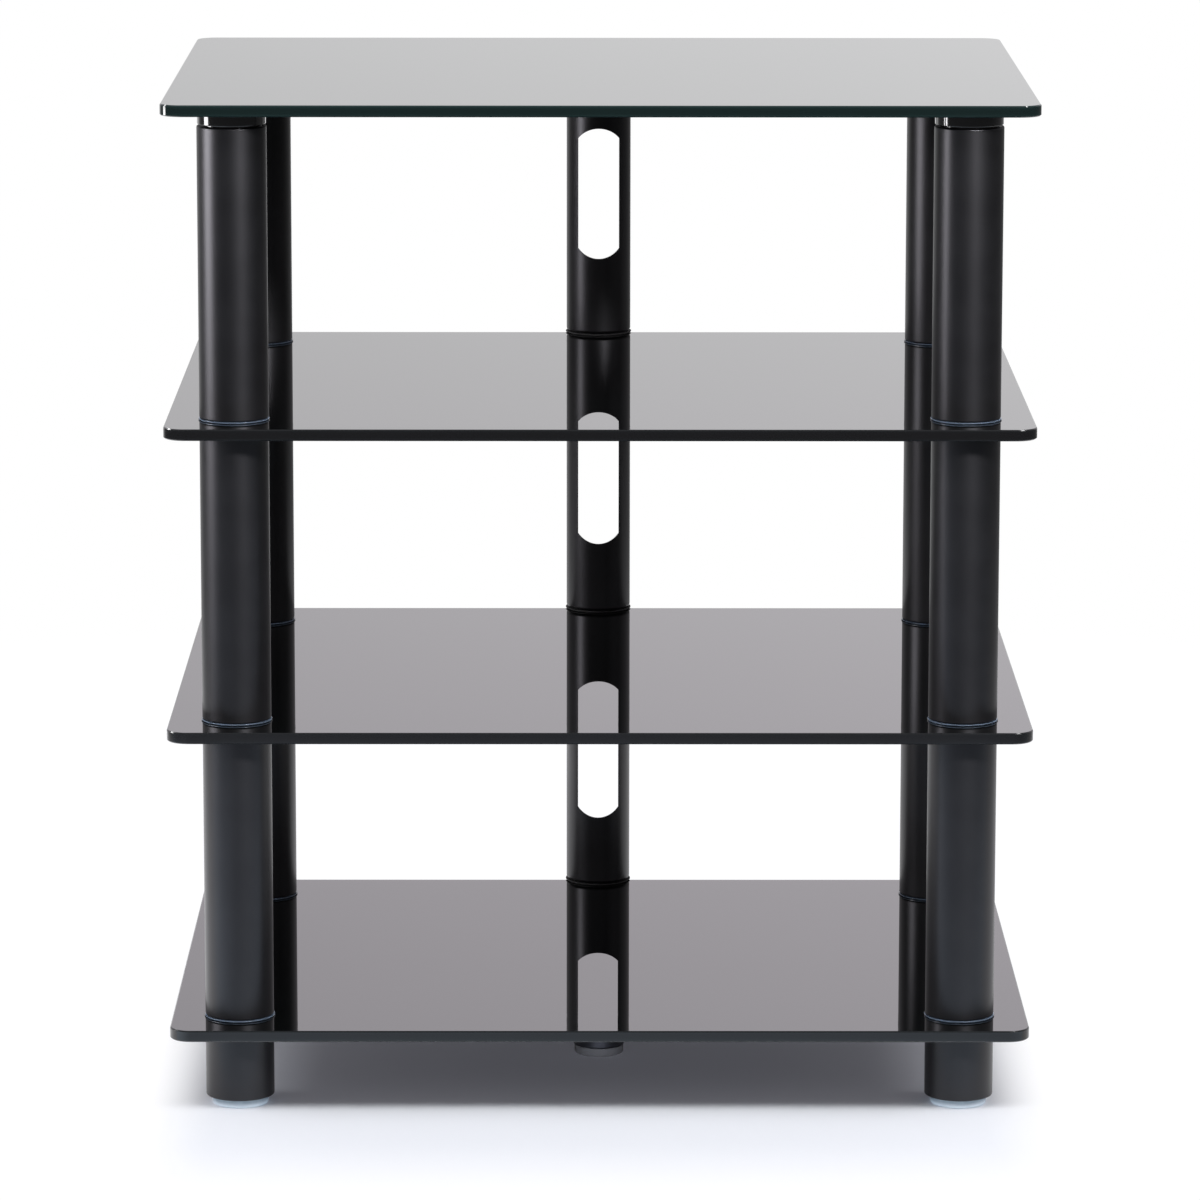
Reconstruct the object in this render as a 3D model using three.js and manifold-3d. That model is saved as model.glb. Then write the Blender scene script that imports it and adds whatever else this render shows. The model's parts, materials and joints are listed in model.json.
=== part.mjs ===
// Audio equipment rack: four black glass shelves on tubular corner posts, with a slotted cable
// column at the middle of the rear edge. Millimetres, +Z up, the front faces -Y, and the origin is
// on the floor under the middle of the rack.
import * as THREE from "three";
import { mergeVertices } from "three/addons/utils/BufferGeometryUtils.js";
import Module from "manifold-3d";

const wasm = await Module();
wasm.setup();

// Glass shelves
const shelfWidth = 600;
const shelfDepth = 465;
const glassThickness = 8;
const glassArris = 0.8;
const shelfCornerRadius = 15;
const rodHoleRadius = 5.5;
const tabStepIn = 3; // how far the rear tab stays inside the outline of the column tube
const tabFilletRadius = 3;

// Corner posts
const tubeRadius = 24;
const tubeWall = 2;
const tubeLength = 202.7;
const tubeEndRounding = 1.2;
const endPlateThickness = 6;
const postInset = 47; // from the edges of the shelf to the axis of the post

// Cable column
const columnSetBack = 3; // from the rear edge of the shelves to the axis of the column
const columnEndRounding = 2.5;
const frontSlotWidth = 30.5;
const frontSlotHeight = 98;
const rearSlotWidth = 34;
const rearSlotHeight = 126;
const slotEndRise = 7.5; // height of the shallow arc that closes each end of a slot
const capFlangeThickness = 3;
const capFlangeRounding = 1;
const capPlugLength = 9;
const capPlugWall = 2;

// Washers between the tubes and the glass
const washerThickness = 1;
const washerOverhang = 0.6; // beyond the side of the tube

// Discs bonded under the top shelf
const discThickness = 9.3;
const discStepIn = 0.4; // inside the side of the tube
const discEdgeRounding = 0.6;
const discNeckHeight = 1;
const discNeckStepIn = 3;
const discBoreDepth = 8;

// Rods and studs
const rodRadius = 4;
const rodPointLength = 1.2;
const rodRunOut = 3; // thread that shows past the inner face of an end plate
const rodTipClearance = 0.5;

// Legs and feet
const legLength = 48.8;
const middleLegRadius = 18.5;
const middleLegSetBack = 187; // from the front edge of the shelves to the axis of the middle leg
const footRadius = 19.5;
const footHeight = 6;
const footEdgeRounding = 1.2;
const footStemRadius = 3.5;
const footStemLength = 9;
const middlePadStepIn = 0.8; // inside the side of the middle leg

// Clearances and overruns
const seatGap = 0.1; // between faces that rest on each other
const threadGap = 0.3; // round a rod or a stem in its bore
const plugGap = 0.3; // round the cap's plug in the column
const cutOverrun = 5;
const weldTolerance = 0.0001;

// Facets
const tubeFacets = 20;
const discFacets = 16; // washers, discs, feet and the middle leg
const rodFacets = 8;
const cornerFacets = 3;

// Sizes that follow from the ones above
const washerRadius = tubeRadius + washerOverhang;
const discRadius = tubeRadius - discStepIn;
const discHeight = discNeckHeight + discThickness;
const tabRadius = tubeRadius - tabStepIn;
const tubeLift = seatGap + washerThickness + seatGap; // from the glass to the tube that stands on it
const lowerBayHeight = tubeLift + tubeLength + seatGap;
const topBayHeight = lowerBayHeight + discHeight + seatGap;
const topColumnTubeLength = topBayHeight - tubeLift - seatGap - capFlangeThickness - seatGap;
const legBottom = footHeight + seatGap;
const bottomShelfUnderside = legBottom + legLength + seatGap;
const lowerPitch = lowerBayHeight + glassThickness;
const topShelfUnderside = bottomShelfUnderside + lowerPitch * 2 + glassThickness + topBayHeight;

// Places in plan
const overallDepth = shelfDepth + columnSetBack + washerRadius;
const frontEdge = -overallDepth / 2;
const rearEdge = frontEdge + shelfDepth;
const columnAxis = rearEdge + columnSetBack;
const postSide = shelfWidth / 2 - postInset;
const posts = [
  { name: "front_left", x: -postSide, y: frontEdge + postInset },
  { name: "front_right", x: postSide, y: frontEdge + postInset },
  { name: "rear_left", x: -postSide, y: rearEdge - postInset },
  { name: "rear_right", x: postSide, y: rearEdge - postInset },
];
const column = { name: "column", x: 0, y: columnAxis };
const middle = { name: "middle", x: 0, y: frontEdge + middleLegSetBack };

// The bays, from the floor up: the shelf under each bay, its clear height, and whether the column
// tube in it is open at the top
const bays = [
  {
    name: "bottom",
    shelf: "shelf_bottom",
    underside: bottomShelfUnderside,
    height: lowerBayHeight,
    open: false,
  },
  {
    name: "middle",
    shelf: "shelf_lower_middle",
    underside: bottomShelfUnderside + lowerPitch,
    height: lowerBayHeight,
    open: false,
  },
  {
    name: "top",
    shelf: "shelf_upper_middle",
    underside: bottomShelfUnderside + lowerPitch * 2,
    height: topBayHeight,
    open: true,
  },
];

// Finishes
const blackGlass = { color: 0x0b0d0d, roughness: 0.05, metalness: 0 };
const blackPowderCoat = { color: 0x1c1c1e, roughness: 0.42, metalness: 0 };
const glossBlack = { color: 0x101113, roughness: 0.15, metalness: 0 };
const clearPlastic = { color: 0xa9b7cc, roughness: 0.25, metalness: 0 };
const blackRubber = { color: 0x141416, roughness: 0.8, metalness: 0 };
const blackPlastic = { color: 0x18181a, roughness: 0.5, metalness: 0 };
const zincPlate = { color: 0xb4b6b9, roughness: 0.35, metalness: 1 };

const rack = new THREE.Group();

// Adds a named piece to the rack, with the middle of its lower face at the place given
function place(name, geometry, finish, { x, y }, z) {
  const piece = new THREE.Mesh(geometry, new THREE.MeshStandardMaterial(finish));
  piece.name = name;
  piece.position.set(x, y, z);
  rack.add(piece);
}

// Turns a profile of [radius, height] points about the Z axis
function revolve(profile, facets) {
  const points = profile.map(([radius, height]) => new THREE.Vector2(radius, height));
  return new THREE.LatheGeometry(points, facets).rotateX(Math.PI / 2);
}

// Solids for cutting, from closed geometries
function solidFrom(geometry) {
  const bare = geometry.clone();
  bare.deleteAttribute("normal");
  bare.deleteAttribute("uv");
  const welded = mergeVertices(bare, weldTolerance);
  return new wasm.Manifold(
    new wasm.Mesh({
      numProp: 3,
      vertProperties: welded.attributes.position.array,
      triVerts: new Uint32Array(welded.index.array),
    }),
  );
}

function geometryFrom(solid) {
  const { vertProperties, triVerts } = solid.getMesh();
  return new THREE.BufferGeometry()
    .setAttribute("position", new THREE.BufferAttribute(vertProperties, 3))
    .setIndex(new THREE.BufferAttribute(triVerts, 1));
}

// The lower end of a tube: a plate bored for a rod or a stem, and a rounded outer rim
function lowerEnd(radius, bore, rounding) {
  return [
    [radius - tubeWall, endPlateThickness],
    [bore, endPlateThickness],
    [bore, 0],
    [radius - rounding, 0],
    [radius, rounding],
  ];
}

// A tube with a bored plate in each end
function platedTube(radius, length, lowerBore, upperBore, rounding) {
  const start = lowerEnd(radius, lowerBore, rounding);
  const upperEnd = [
    [radius, length - rounding],
    [radius - rounding, length],
    [upperBore, length],
    [upperBore, length - endPlateThickness],
    [radius - tubeWall, length - endPlateThickness],
  ];
  return revolve([...start, ...upperEnd, start[0]], tubeFacets);
}

// A tube whose top plate is whole, to be bonded to glass
function blindTube(radius, length, lowerBore, facets) {
  const section = [
    [0, length - endPlateThickness],
    [radius - tubeWall, length - endPlateThickness],
    ...lowerEnd(radius, lowerBore, tubeEndRounding),
    [radius, length - tubeEndRounding],
    [radius - tubeEndRounding, length],
    [0, length],
  ];
  return revolve(section, facets);
}

// A tube that is open at the top, for a cap
function openTube(radius, length, lowerBore, rounding) {
  const start = lowerEnd(radius, lowerBore, rounding);
  const rim = [
    [radius, length],
    [radius - tubeWall, length],
  ];
  return revolve([...start, ...rim, start[0]], tubeFacets);
}

// The outline of a slot: straight sides closed by shallow arcs, so that each corner stays sharp
function slotOutline(width, height) {
  const arcRadius = (width ** 2 / 4 + slotEndRise ** 2) / (slotEndRise * 2);
  const arcCentre = height / 2 - arcRadius;
  const halfAngle = Math.asin(width / 2 / arcRadius);
  const up = Math.PI / 2;
  const outline = new THREE.Shape();
  outline.absarc(0, arcCentre, arcRadius, up - halfAngle, up + halfAngle, false);
  outline.absarc(0, -arcCentre, arcRadius, -up - halfAngle, -up + halfAngle, false);
  return outline;
}

// A prism of a slot's outline through one wall of the column, from its axis outwards. side is -1 for
// the front wall and 1 for the rear one.
function slotCutter(width, height, side) {
  const reach = tubeRadius + cutOverrun;
  const prism = new THREE.ExtrudeGeometry(slotOutline(width, height), {
    depth: reach,
    bevelEnabled: false,
    curveSegments: cornerFacets,
  });
  prism.rotateX(Math.PI / 2);
  return side > 0 ? prism.translate(0, reach, 0) : prism;
}

// Cuts the front slot and the taller rear slot through a column tube, at half the height of its bay
function slotted(tube, bayHeight) {
  const slotCentre = bayHeight / 2 - tubeLift;
  const frontCut = slotCutter(frontSlotWidth, frontSlotHeight, -1).translate(0, 0, slotCentre);
  const rearCut = slotCutter(rearSlotWidth, rearSlotHeight, 1).translate(0, 0, slotCentre);
  return geometryFrom(solidFrom(tube).subtract(solidFrom(frontCut)).subtract(solidFrom(rearCut)));
}

// The cap of the column: a flange on the rim of the top tube and a hollow plug inside it
function columnCap() {
  const plugRadius = tubeRadius - tubeWall - plugGap;
  const flangeTop = capPlugLength + capFlangeThickness;
  const section = [
    [0, capPlugLength],
    [plugRadius - capPlugWall, capPlugLength],
    [plugRadius - capPlugWall, 0],
    [plugRadius, 0],
    [plugRadius, capPlugLength],
    [tubeRadius, capPlugLength],
    [tubeRadius, flangeTop - capFlangeRounding],
    [tubeRadius - capFlangeRounding, flangeTop],
    [0, flangeTop],
  ];
  return revolve(section, tubeFacets);
}

// The outline of a shelf, in rack coordinates. The drilled ones have a rounded tab behind the rear
// edge that carries the column.
function shelfOutline(drilled) {
  const right = shelfWidth / 2;
  const left = -right;
  const r = shelfCornerRadius;
  const quarter = Math.PI / 2;
  const outline = new THREE.Shape();
  outline.absarc(left + r, frontEdge + r, r, quarter * 2, quarter * 3, false);
  outline.absarc(right - r, frontEdge + r, r, quarter * 3, quarter * 4, false);
  outline.absarc(right - r, rearEdge - r, r, 0, quarter, false);
  if (drilled) {
    const f = tabFilletRadius;
    outline.absarc(tabRadius + f, rearEdge + f, f, -quarter, -quarter * 2, true);
    outline.absarc(0, columnAxis, tabRadius, 0, quarter * 2, false);
    outline.absarc(-tabRadius - f, rearEdge + f, f, 0, -quarter, true);
  }
  outline.absarc(left + r, rearEdge - r, r, quarter, quarter * 2, false);
  return outline;
}

// A glass shelf with a ground arris round both faces and round each hole
function shelf(drilled) {
  const outline = shelfOutline(drilled);
  if (drilled) {
    for (const { x, y } of [...posts, column]) {
      outline.holes.push(new THREE.Path().absarc(x, y, rodHoleRadius, 0, Math.PI * 2, true));
    }
  }
  return new THREE.ExtrudeGeometry(outline, {
    depth: glassThickness - glassArris * 2,
    bevelThickness: glassArris,
    bevelSize: glassArris,
    bevelOffset: -glassArris,
    bevelSegments: 1,
    curveSegments: cornerFacets,
  }).translate(0, 0, glassArris);
}

// A flat washer with a hole for a rod
function washer() {
  const bore = rodRadius + threadGap;
  const corner = [bore, 0];
  const section = [
    corner,
    [washerRadius, 0],
    [washerRadius, washerThickness],
    [bore, washerThickness],
    corner,
  ];
  return revolve(section, discFacets);
}

// A disc bonded to the top shelf. Its narrow neck stands on the tube, and a blind bore takes the rod.
function bondedDisc() {
  const bore = rodRadius + threadGap;
  const section = [
    [0, discBoreDepth],
    [bore, discBoreDepth],
    [bore, 0],
    [discRadius - discNeckStepIn, 0],
    [discRadius - discNeckStepIn, discNeckHeight],
    [discRadius - discEdgeRounding, discNeckHeight],
    [discRadius, discNeckHeight + discEdgeRounding],
    [discRadius, discHeight],
    [0, discHeight],
  ];
  return revolve(section, discFacets);
}

// A rod with a pointed thread end at each tip
function rod(length) {
  const section = [
    [0, 0],
    [rodRadius - rodPointLength / 2, 0],
    [rodRadius, rodPointLength],
    [rodRadius, length - rodPointLength],
    [rodRadius - rodPointLength / 2, length],
    [0, length],
  ];
  return revolve(section, rodFacets);
}

// A round foot with a stem that goes into the bottom plate of its leg
function foot(radius) {
  const section = [
    [0, 0],
    [radius - footEdgeRounding, 0],
    [radius, footEdgeRounding],
    [radius, footHeight],
    [footStemRadius, footHeight],
    [footStemRadius, footHeight + footStemLength],
    [0, footHeight + footStemLength],
  ];
  return revolve(section, discFacets);
}

// Legs and feet
for (const spot of [...posts, column]) {
  const stemBore = footStemRadius + threadGap;
  const rodBore = rodRadius + threadGap;
  const tube = platedTube(tubeRadius, legLength, stemBore, rodBore, tubeEndRounding);
  place("leg_" + spot.name, tube, blackPowderCoat, spot, legBottom);
  place("foot_" + spot.name, foot(footRadius), clearPlastic, spot, 0);
}
const middleLegTube = blindTube(middleLegRadius, legLength, footStemRadius + threadGap, discFacets);
place("leg_middle", middleLegTube, blackPowderCoat, middle, legBottom);
place("pad_middle", foot(middleLegRadius - middlePadStepIn), blackRubber, middle, 0);

// Shelves, washers and tubes, bay by bay
for (const bay of bays) {
  const shelfTop = bay.underside + glassThickness;
  const washerBottom = shelfTop + seatGap;
  const tubeBottom = shelfTop + tubeLift;
  const rodBore = rodRadius + threadGap;
  place(bay.shelf, shelf(true), blackGlass, { x: 0, y: 0 }, bay.underside);
  for (const post of posts) {
    const tube = platedTube(tubeRadius, tubeLength, rodBore, rodBore, tubeEndRounding);
    place("washer_" + post.name + "_" + bay.name, washer(), clearPlastic, post, washerBottom);
    place("tube_" + post.name + "_" + bay.name, tube, blackPowderCoat, post, tubeBottom);
  }
  const columnTube = bay.open
    ? openTube(tubeRadius, topColumnTubeLength, rodBore, columnEndRounding)
    : platedTube(tubeRadius, tubeLength, rodBore, rodBore, columnEndRounding);
  place("washer_column_" + bay.name, washer(), blackRubber, column, washerBottom);
  place("column_tube_" + bay.name, slotted(columnTube, bay.height), blackPowderCoat, column, tubeBottom);

  // The stud joins the plates above and below the glass
  const studBottom = bay.underside - seatGap - endPlateThickness - rodRunOut;
  const studTop = tubeBottom + endPlateThickness + rodRunOut;
  place("stud_column_" + bay.name, rod(studTop - studBottom), zincPlate, column, studBottom);
}
place("shelf_top", shelf(false), blackGlass, { x: 0, y: 0 }, topShelfUnderside);
const capBottom = topShelfUnderside - seatGap - capFlangeThickness - capPlugLength;
place("column_cap", columnCap(), blackPlastic, column, capBottom);

// Bonded discs, and the rods that draw each post together
const discBottom = topShelfUnderside - seatGap - discHeight;
const rodBottom = bottomShelfUnderside - seatGap - endPlateThickness - rodRunOut;
const rodTop = discBottom + discBoreDepth - rodTipClearance;
for (const post of posts) {
  place("disc_" + post.name, bondedDisc(), glossBlack, post, discBottom);
  place("rod_" + post.name, rod(rodTop - rodBottom), zincPlate, post, rodBottom);
}

export default rack;
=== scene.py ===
import json
import math

import bmesh
import bpy
from mathutils import Matrix, Vector
from mathutils.geometry import tessellate_polygon

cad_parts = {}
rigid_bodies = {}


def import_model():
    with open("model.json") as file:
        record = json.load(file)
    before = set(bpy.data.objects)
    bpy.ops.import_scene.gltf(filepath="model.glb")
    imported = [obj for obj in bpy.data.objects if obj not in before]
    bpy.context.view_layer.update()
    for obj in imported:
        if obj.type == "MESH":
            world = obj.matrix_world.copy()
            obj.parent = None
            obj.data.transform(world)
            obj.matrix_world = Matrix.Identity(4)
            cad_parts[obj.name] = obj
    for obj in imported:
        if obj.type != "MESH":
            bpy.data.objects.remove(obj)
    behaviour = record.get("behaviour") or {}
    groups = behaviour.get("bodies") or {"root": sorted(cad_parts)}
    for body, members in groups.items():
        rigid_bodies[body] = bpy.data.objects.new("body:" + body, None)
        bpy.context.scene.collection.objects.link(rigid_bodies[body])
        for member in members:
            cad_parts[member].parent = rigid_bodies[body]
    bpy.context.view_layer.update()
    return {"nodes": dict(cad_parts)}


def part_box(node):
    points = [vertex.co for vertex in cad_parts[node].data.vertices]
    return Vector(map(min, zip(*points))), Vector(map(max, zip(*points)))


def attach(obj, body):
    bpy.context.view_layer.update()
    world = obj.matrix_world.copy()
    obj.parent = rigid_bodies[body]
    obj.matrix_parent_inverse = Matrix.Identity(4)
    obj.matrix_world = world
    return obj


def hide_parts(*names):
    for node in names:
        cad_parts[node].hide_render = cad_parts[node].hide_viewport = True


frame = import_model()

scene = bpy.context.scene
mm = 0.001
postNames = ["front_left", "front_right", "rear_left", "rear_right"]
bayNames = ["bottom", "middle", "top"]
drilledShelves = ["shelf_bottom", "shelf_lower_middle", "shelf_upper_middle"]
print("frame loaded,", len(frame["nodes"]), "nodes")


# Camera

cameraSetup = {
    "place": (-0.01404, -4.60794, 1.18910),
    "pitchDown": 0.18595,  # this and the next two in radians
    "turnRight": 0.00319,
    "roll": 0.00109,
    "lens": 193.66,
    "sensor": 36.0,
    "farLimit": 100.0,
}


def makeCamera(setup):
    pitch, turn, roll = setup["pitchDown"], setup["turnRight"], setup["roll"]
    reach = math.cos(pitch)
    ahead = Vector((math.sin(turn) * reach, math.cos(turn) * reach, -math.sin(pitch)))
    level = Vector((math.cos(turn), -math.sin(turn), 0))
    upright = level.cross(ahead)
    across = level * math.cos(roll) + upright * math.sin(roll)
    upwards = upright * math.cos(roll) - level * math.sin(roll)
    data = bpy.data.cameras.new("camera")
    data.lens = setup["lens"]
    data.sensor_width = setup["sensor"]
    data.clip_end = setup["farLimit"]
    camera = bpy.data.objects.new("camera", data)
    turned = Matrix((across, upwards, -ahead)).transposed().to_4x4()
    camera.matrix_world = Matrix.Translation(setup["place"]) @ turned
    scene.collection.objects.link(camera)
    scene.camera = camera


makeCamera(cameraSetup)
print("camera placed")


# Shader expressions

class Wire:
    # one output of a node tree, to which sums and products add the Math nodes they need
    def __init__(self, tree, socket=None):
        self.tree = tree
        self.socket = socket

    def node(self, kind, settings=None, sockets=None, output=0):
        made = self.tree.nodes.new("ShaderNode" + kind)
        for name, value in (settings or {}).items():
            if name == "stops":
                placeStops(made.color_ramp, value)
            else:
                setattr(made, name, value)
        for name, value in (sockets or {}).items():
            if isinstance(value, Wire):
                self.tree.links.new(value.socket, made.inputs[name])
            else:
                made.inputs[name].default_value = value
        return Wire(self.tree, made.outputs[output] if len(made.outputs) else None)

    def sum(self, operation, first, second=0.0):
        return self.node("Math", {"operation": operation}, {0: first, 1: second})

    def __add__(self, other):
        return self.sum("ADD", self, other)

    def __sub__(self, other):
        return self.sum("SUBTRACT", self, other)

    def __rsub__(self, other):
        return self.sum("SUBTRACT", other, self)

    def __mul__(self, other):
        return self.sum("MULTIPLY", self, other)

    __radd__ = __add__
    __rmul__ = __mul__

    def __truediv__(self, other):
        return self.sum("DIVIDE", self, other)

    def __rtruediv__(self, other):
        return self.sum("DIVIDE", other, self)

    def __pow__(self, other):
        return self.sum("POWER", self, other)

    def __rpow__(self, other):
        return self.sum("POWER", other, self)

    def __gt__(self, other):
        return self.sum("GREATER_THAN", self, other)

    def __lt__(self, other):
        return self.sum("LESS_THAN", self, other)

    def __abs__(self):
        return self.sum("ABSOLUTE", self)

    def part(self, axis):
        return self.node("SeparateXYZ", None, {"Vector": self}, axis)

    def ramp(self, low, high):
        # rises softly from 0 at low to 1 at high
        sockets = {"Value": self, "From Min": low, "From Max": high}
        return self.node("MapRange", {"interpolation_type": "SMOOTHSTEP"}, sockets)

    def blend(self, first, second):
        # this wire is the factor between two colours, which have the sockets 6, 7 and 2 of a Mix node
        return self.node("Mix", {"data_type": "RGBA"}, {0: self, 6: first, 7: second}, 2)

    def noise(self, perMetre, detail, roughness=0.5):
        sockets = {"Vector": self, "Scale": perMetre, "Detail": detail, "Roughness": roughness}
        return self.node("TexNoise", None, sockets)

    def around(self, middle, swing):
        # middle, varied by this noise
        return middle + (self - 0.5) * swing


def placeStops(ramp, stops):
    while len(ramp.elements) < len(stops):
        ramp.elements.new(1.0)
    for element, (place, colour) in zip(ramp.elements, stops):
        element.position = place
        element.color = colour


def rgb(red, green, blue):
    return (red, green, blue, 1.0)


def scaled(colour, share):
    return rgb(*[part * share for part in colour])


def newFinish(name, fixed):
    # a material whose unchanging values sit on the shader's own sockets, and a place on the piece
    finish = bpy.data.materials.new(name)
    finish.use_nodes = True
    shader = finish.node_tree.nodes["Principled BSDF"]
    for socket, value in fixed.items():
        shader.inputs[socket].default_value = value
    return finish, Wire(finish.node_tree).node("TexCoord", output="Object"), shader


def feed(finish, shader, varying):
    for socket, wire in varying.items():
        finish.node_tree.links.new(wire.socket, shader.inputs[socket])
    return finish


def bumped(height, strength, distance):
    return height.node("Bump", None, {"Strength": strength, "Distance": distance, "Height": height})


# Finishes

powderCoat = {
    "dark": (0.0036, 0.0036, 0.0041),
    "light": (0.0064, 0.0065, 0.0072),
    "shine": (0.98, 0.97, 1.01),
    "index": 1.5,
    "roughness": 0.36,
    "cloudPerMetre": 28,
    "cloudDetail": 3,
    "cloudSpread": (0.35, 0.65),
    "cloudSwing": 0.05,
    "grainPerMetre": 1500,  # orange peel of the coat
    "grainDetail": 2,
    "grainSwing": 0.04,
    "grainStrength": 0.5,
    "grainHeight": 0.012 * mm,
}


def makePowderCoat(values):
    fixed = {"IOR": values["index"], "Specular Tint": rgb(*values["shine"])}
    finish, place, shader = newFinish("powderCoat", fixed)
    cloud = place.noise(values["cloudPerMetre"], values["cloudDetail"])
    grain = place.noise(values["grainPerMetre"], values["grainDetail"])
    colour = cloud.ramp(*values["cloudSpread"]).blend(rgb(*values["dark"]), rgb(*values["light"]))
    rough = cloud.around(values["roughness"], values["cloudSwing"])
    rough = grain.around(rough, values["grainSwing"])
    relief = bumped(grain, values["grainStrength"], values["grainHeight"])
    return feed(finish, shader, {"Base Color": colour, "Roughness": rough, "Normal": relief})


blackGlass = {
    "index": 1.52,
    "face": (0.0022, 0.0026, 0.0026),
    "faceRoughness": 0.006,
    "smearPerMetre": 9,
    "smearDetail": 4,
    "smearRoughness": 0.6,
    "smearSpread": (0.5, 0.8),
    "smearSwing": 0.010,
    "paint": (0.0065, 0.0065, 0.0070),
    "paintRoughness": 0.42,
    "paintSwing": 0.1,
    "edgeSwing": 0.03,
    "streakPerMetre": 420,
    "streakDetail": 3,
    "flatFrom": 0.9,  # a surface that faces further up or down than this is no edge
    "rimPower": 3,
}
# painted light: each shelf's edge colours stand in for the light that comes in through its face and out at
# its edge, more the higher the shelf; the top one's is green
lowestGlass = dict(
    blackGlass, name="blackGlassLowest", edgeRoughness=0.20,
    middle=(0.0008, 0.0009, 0.0010), litRims=(0.010, 0.013, 0.014),
)
middleGlass = dict(
    blackGlass, name="blackGlass", edgeRoughness=0.20,
    middle=(0.0089, 0.0088, 0.0094), litRims=(0.011, 0.013, 0.014),
)
topGlass = dict(
    blackGlass, name="blackGlassTop", edgeRoughness=0.035,
    middle=(0.0066, 0.0150, 0.0142), litRims=(0.016, 0.034, 0.033),
)


def makeBlackGlass(values, thickness):
    # polished on top, ground and polished round the edge, painted underneath
    finish, place, shader = newFinish(values["name"], {"IOR": values["index"]})
    facing = place.node("NewGeometry", output="Normal").part(2)
    isEdge = abs(facing) < values["flatFrom"]
    isUnder = facing < -values["flatFrom"]
    streak = place.noise(values["streakPerMetre"], values["streakDetail"])
    smear = place.noise(values["smearPerMetre"], values["smearDetail"], values["smearRoughness"])
    height = place.part(2) / thickness
    rim = (abs(height - 0.5) * 2) ** values["rimPower"]  # 0 half way up the edge, 1 at either rim
    # painted highlight: the edge colour is lighter towards both rims than half way up
    edge = rim.blend(rgb(*values["middle"]), rgb(*values["litRims"]))
    body = isEdge.blend(rgb(*values["face"]), edge)
    colour = isUnder.blend(body, rgb(*values["paint"]))
    faceRough = values["faceRoughness"] + smear.ramp(*values["smearSpread"]) * values["smearSwing"]
    edgeRough = streak.around(values["edgeRoughness"], values["edgeSwing"])
    rough = faceRough * (1 - isEdge) * (1 - isUnder) + edgeRough * isEdge
    rough = rough + isUnder * streak.around(values["paintRoughness"], values["paintSwing"])
    return feed(finish, shader, {"Base Color": colour, "Roughness": rough})


glossLacquer = {
    "base": (0.006, 0.006, 0.0065),
    "lightShare": 1.5,
    "roughness": 0.10,
    "coat": 1.0,
    "coatRoughness": 0.04,
    "flowPerMetre": 160,
    "flowDetail": 2,
    "flowSwing": 0.05,
    "flowStrength": 0.3,
    "flowHeight": 0.01 * mm,
}


def makeGlossLacquer(values):
    fixed = {"Coat Weight": values["coat"], "Coat Roughness": values["coatRoughness"]}
    finish, place, shader = newFinish("glossLacquer", fixed)
    flow = place.noise(values["flowPerMetre"], values["flowDetail"])
    colour = flow.blend(rgb(*values["base"]), scaled(values["base"], values["lightShare"]))
    rough = values["roughness"] + flow * values["flowSwing"]
    relief = bumped(flow, values["flowStrength"], values["flowHeight"])
    return feed(finish, shader, {"Base Color": colour, "Roughness": rough, "Normal": relief})


clearPlastic = {
    "through": 0.30,
    "index": 1.49,
    "deepShare": 0.86,
    "cloudPerMetre": 240,
    "cloudDetail": 3,
    "cloudSpread": (0.3, 0.7),
    "cloudSwing": 0.08,
}
washerPlastic = dict(
    clearPlastic, name="clearWasher", base=(0.20, 0.27, 0.37), roughness=0.26, glowStrength=0.0,
)
footPlastic = dict(
    clearPlastic, name="clearFoot", base=(0.45, 0.54, 0.61), roughness=0.16, glowStrength=1.0,
    # painted light: the lower rim of the foot is white and glows, in place of the light that the foot takes
    # in and gathers there
    low=(1.0, 1.0, 1.0), glow=(0.104, 0.148, 0.188), glowingRimTo=(0.4 * mm, 4.2 * mm),
)


def makeClearPlastic(values):
    fixed = {"Transmission Weight": values["through"], "IOR": values["index"]}
    fixed["Emission Strength"] = values["glowStrength"]
    finish, place, shader = newFinish(values["name"], fixed)
    cloud = place.noise(values["cloudPerMetre"], values["cloudDetail"])
    deep = scaled(values["base"], values["deepShare"])
    colour = cloud.ramp(*values["cloudSpread"]).blend(deep, rgb(*values["base"]))
    varying = {"Base Color": colour, "Roughness": cloud.around(values["roughness"], values["cloudSwing"])}
    if values["glowStrength"]:
        # painted light: white and glowing towards the underside of the piece
        height = place.part(2).ramp(*values["glowingRimTo"])
        varying["Base Color"] = height.blend(rgb(*values["low"]), colour)
        varying["Emission Color"] = height.blend(rgb(*values["glow"]), rgb(0, 0, 0))
    return feed(finish, shader, varying)


softBlack = {
    "index": 1.5,
    "lightShare": 1.6,
    "grainPerMetre": 900,
    "grainDetail": 3,
    "grainSwing": 0.12,
    "grainStrength": 0.5,
    "grainHeight": 0.05 * mm,
}
washerRubber = dict(softBlack, name="blackRubber", base=(0.010, 0.010, 0.0105), roughness=0.75)
# painted shade: the pad is as grey as the shaded floor round it, so that it takes the tone of the shadow
padRubber = dict(softBlack, name="greyRubber", base=(0.066, 0.063, 0.058), roughness=0.80)
capPlastic = dict(
    softBlack, name="blackPlastic", base=(0.013, 0.013, 0.0135), roughness=0.48,
    grainPerMetre=2200, grainHeight=0.03 * mm,
)


def makeSoftBlack(values):
    finish, place, shader = newFinish(values["name"], {"IOR": values["index"]})
    grain = place.noise(values["grainPerMetre"], values["grainDetail"])
    colour = grain.blend(rgb(*values["base"]), scaled(values["base"], values["lightShare"]))
    rough = grain.around(values["roughness"], values["grainSwing"])
    relief = bumped(grain, values["grainStrength"], values["grainHeight"])
    return feed(finish, shader, {"Base Color": colour, "Roughness": rough, "Normal": relief})


zincPlate = {
    "bright": (0.62, 0.63, 0.65),
    "dull": (0.44, 0.46, 0.50),
    "roughness": 0.30,
    "cloudPerMetre": 300,
    "cloudDetail": 3,
    "cloudSpread": (0.35, 0.7),
    "cloudSwing": 0.2,
}


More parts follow.
